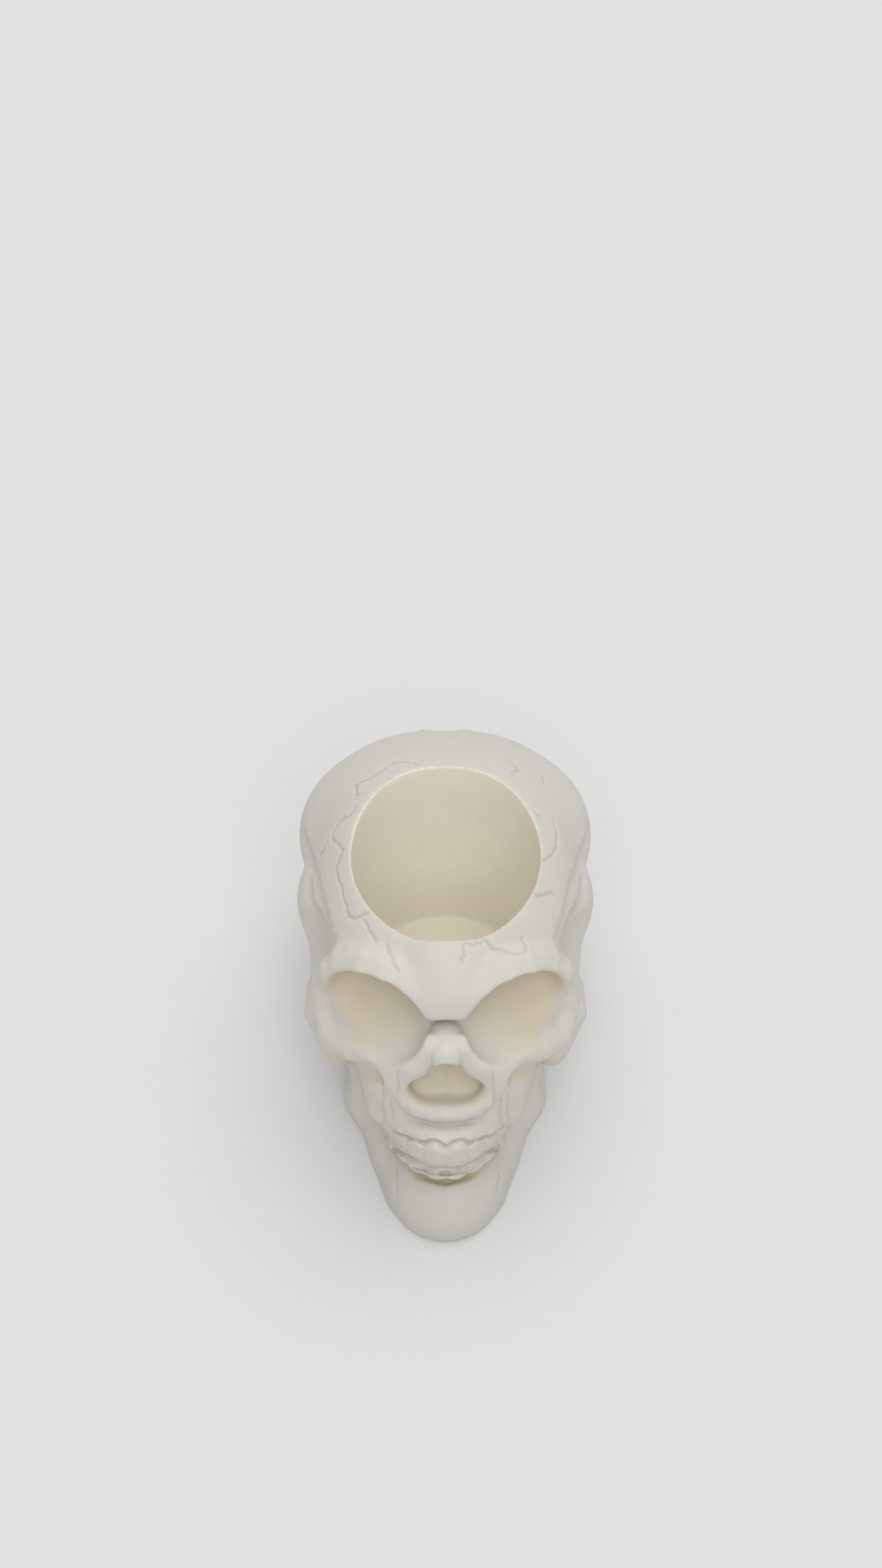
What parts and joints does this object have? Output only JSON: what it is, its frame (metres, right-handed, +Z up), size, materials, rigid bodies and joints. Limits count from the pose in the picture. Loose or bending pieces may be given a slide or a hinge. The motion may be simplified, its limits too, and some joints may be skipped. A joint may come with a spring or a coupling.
{
  "type": "skull candle holder",
  "caption": "One-piece candle holder shaped as a human skull lying back on its lower jaw, with a round blind well in the crown for a votive candle and a flat base.",
  "frame": {"origin": "the point of the flat base below the middle of the well", "axes": "+Z up along the well, out of its mouth; -Y the way the face looks, so +Y runs from the chin to the back of the head; +X across the head"},
  "size_m": [0.0932, 0.1483, 0.1034],
  "materials": {
    "ivory": "matte, pale ivory"
  },
  "bodies": {
    "root": {"skull_holder": "ivory"}
  },
  "joints": []
}
